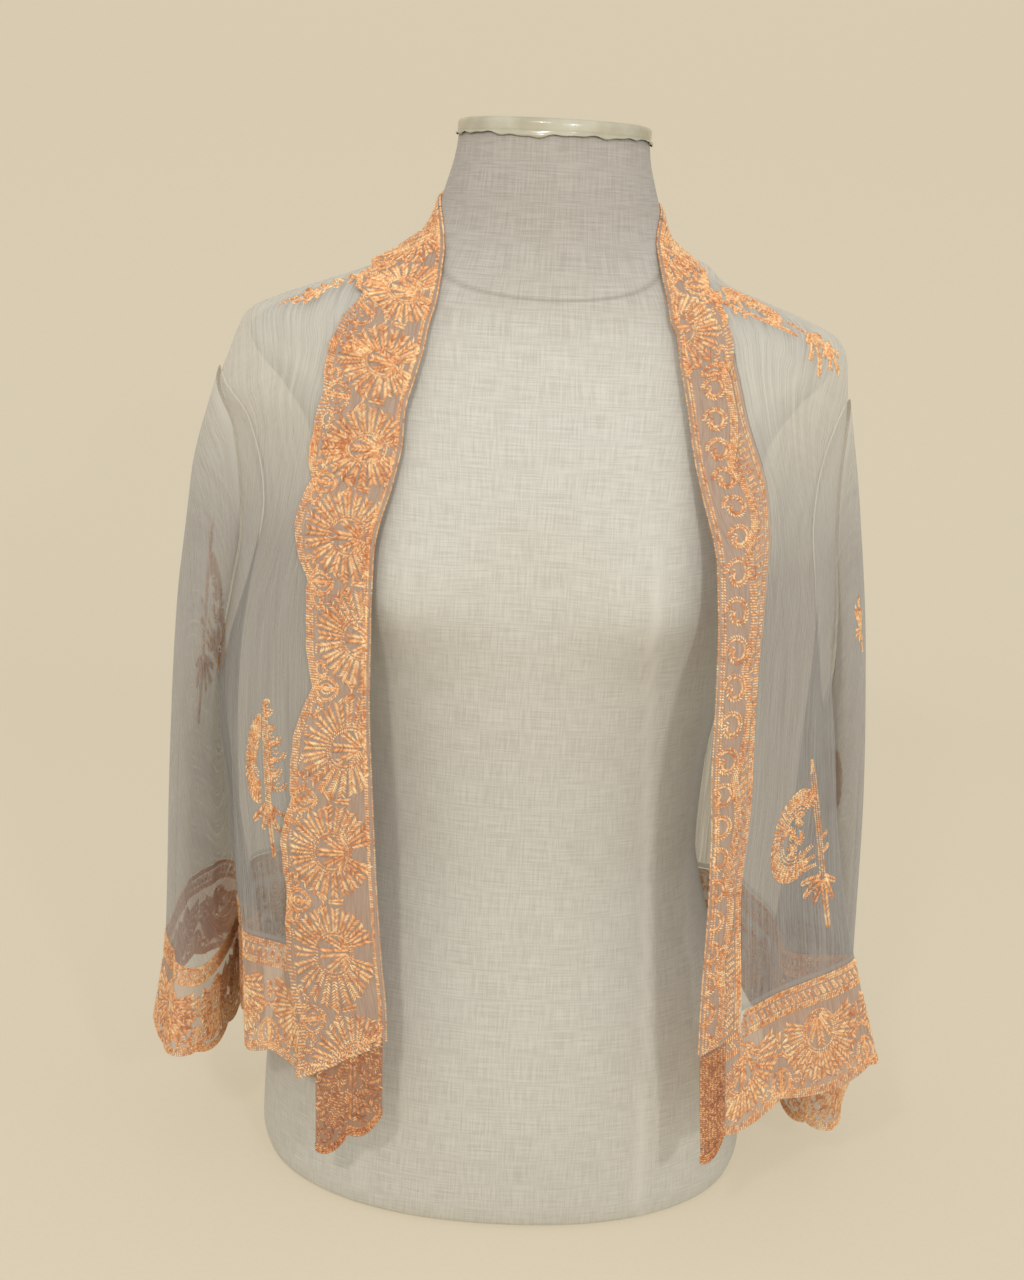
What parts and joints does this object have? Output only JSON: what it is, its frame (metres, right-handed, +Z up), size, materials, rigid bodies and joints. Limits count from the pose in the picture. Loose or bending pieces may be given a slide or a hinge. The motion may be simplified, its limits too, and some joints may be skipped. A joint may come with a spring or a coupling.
{
  "type": "cropped kimono jacket on a dress form",
  "caption": "Sheer open kimono jacket with wide sleeves and scalloped embroidered borders, worn by a limbless linen dress form.",
  "frame": {"origin": "centre of the dress form's flat base, on the floor", "axes": "+Z up, -Y towards the jacket's open front, +X towards the wearer's left"},
  "size_m": [0.5013, 0.3095, 0.7066],
  "materials": {
    "chiffon": "sheer crinkled grey-beige chiffon",
    "embroidery": "sheer cloth covered with silky copper-orange chain stitch",
    "linen": "plain woven natural linen",
    "cream_plastic": "smooth cream plastic"
  },
  "bodies": {
    "root": {"back": "chiffon", "right_front": "chiffon", "left_front": "chiffon", "right_sleeve": "chiffon", "left_sleeve": "chiffon", "right_front_border": "embroidery", "left_front_border": "embroidery", "back_neck_border": "embroidery", "right_border_end": "embroidery", "left_border_end": "embroidery", "right_hem_border": "embroidery", "left_hem_border": "embroidery", "back_hem_border": "embroidery", "right_cuff": "embroidery", "left_cuff": "embroidery", "dress_form": "linen", "neck_cap": "cream_plastic"}
  },
  "joints": []
}
